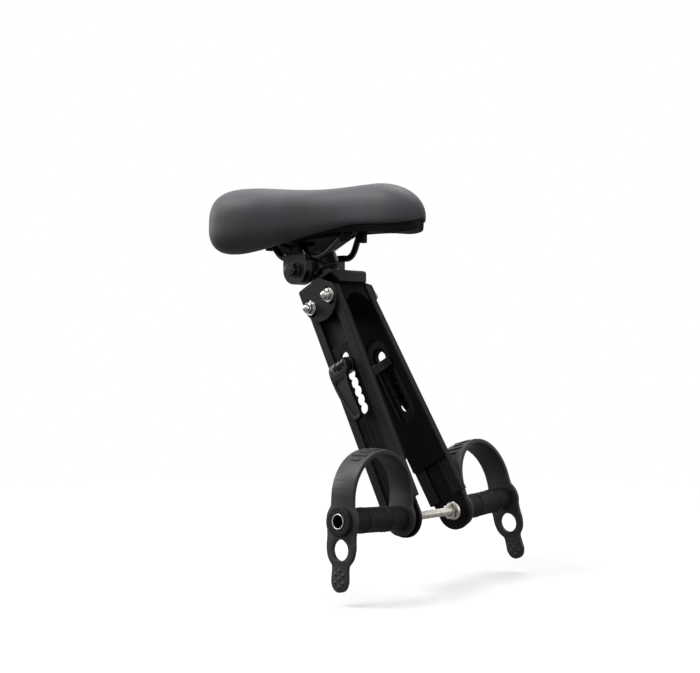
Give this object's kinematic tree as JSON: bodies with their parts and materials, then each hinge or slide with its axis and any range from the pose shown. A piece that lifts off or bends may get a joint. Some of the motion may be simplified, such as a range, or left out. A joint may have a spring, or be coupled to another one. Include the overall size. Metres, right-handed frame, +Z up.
{
  "type": "child's bicycle seat for a top tube",
  "caption": "Child's saddle on a folded bracket that straddles a bicycle top tube, with two height-adjustable legs, foot pegs and rubber foot straps.",
  "frame": {"origin": "middle of the top tube, on the axis of the rubber pad's channel", "axes": "+X to the front of the bike, +Y to the rider's left, +Z up"},
  "size_m": [0.2707, 0.266, 0.3825],
  "materials": {
    "saddle_skin": "fine grained synthetic leather, soft sheen",
    "moulded_plastic": "matt black moulding",
    "wire_paint": "satin black paint",
    "clamp_steel": "satin black zinc plate",
    "powder_coat": "satin black powder coat",
    "slide_coat": "smooth gloss black coat",
    "lever_steel": "black coated casting",
    "stainless": "bright stainless steel",
    "zinc_steel": "zinc plated steel",
    "pad_rubber": "matt black rubber",
    "strap_rubber": "matt charcoal rubber",
    "grip_rubber": "finely textured black rubber"
  },
  "bodies": {
    "root": {"saddle_cover": "saddle_skin", "saddle_base": "moulded_plastic", "rail_sockets": "moulded_plastic", "saddle_rails": "wire_paint", "clamp_body": "clamp_steel", "clamp_inner_jaws": "clamp_steel", "clamp_outer_jaws": "clamp_steel", "clamp_bolt": "clamp_steel", "clamp_washers": "clamp_steel", "clamp_nuts": "clamp_steel", "seat_post": "clamp_steel", "top_bracket": "powder_coat", "top_tube_pad": "pad_rubber", "bracket_bolts": "stainless", "bracket_spacers": "stainless", "bracket_washers": "stainless", "bracket_dome_nuts": "stainless", "outer_rail_right": "powder_coat", "outer_rail_left": "powder_coat", "rail_liner_right": "pad_rubber", "rail_liner_left": "pad_rubber", "cam_stud_right": "lever_steel", "cam_stud_left": "lever_steel", "clamp_plate_right": "lever_steel", "clamp_plate_left": "lever_steel", "cam_block_right": "lever_steel", "cam_block_left": "lever_steel"},
    "lower_right": {"slide_leg_right": "slide_coat", "peg_tube_right": "slide_coat", "peg_grip_right": "grip_rubber", "peg_end_cap_right": "grip_rubber", "foot_strap_right": "strap_rubber", "flange_nut_right": "zinc_steel", "rod_end_nut_right": "zinc_steel", "threaded_rod": "zinc_steel"},
    "lower_left": {"slide_leg_left": "slide_coat", "peg_tube_left": "slide_coat", "peg_grip_left": "grip_rubber", "peg_end_cap_left": "grip_rubber", "foot_strap_left": "strap_rubber", "flange_nut_left": "zinc_steel", "rod_end_nut_left": "zinc_steel"},
    "lever_right": {"cam_lever_right": "lever_steel", "cam_pin_right": "lever_steel"},
    "lever_left": {"cam_lever_left": "lever_steel", "cam_pin_left": "lever_steel"}
  },
  "joints": [
    {"name": "height_right", "type": "slide", "parent": "root", "child": "lower_right", "axis": [-0.4839, 0.061, 0.873], "range_m": [-0.0093, 0.0372]},
    {"name": "height_left", "type": "slide", "parent": "root", "child": "lower_left", "axis": [-0.4839, -0.061, 0.873], "range_m": [-0.0093, 0.0372]},
    {"name": "lever_hinge_right", "type": "hinge", "parent": "root", "child": "lever_right", "pos_m": [0.0256, -0.03936, -0.04618], "axis": [-0.8746, 0, -0.4848], "range_deg": [0, 115]},
    {"name": "lever_hinge_left", "type": "hinge", "parent": "root", "child": "lever_left", "pos_m": [0.0256, 0.03936, -0.04618], "axis": [0.8746, 0, 0.4848], "range_deg": [0, 115]}
  ],
  "couplings": [
    {"joint": "height_left", "follows": "height_right", "ratio": 1}
  ]
}
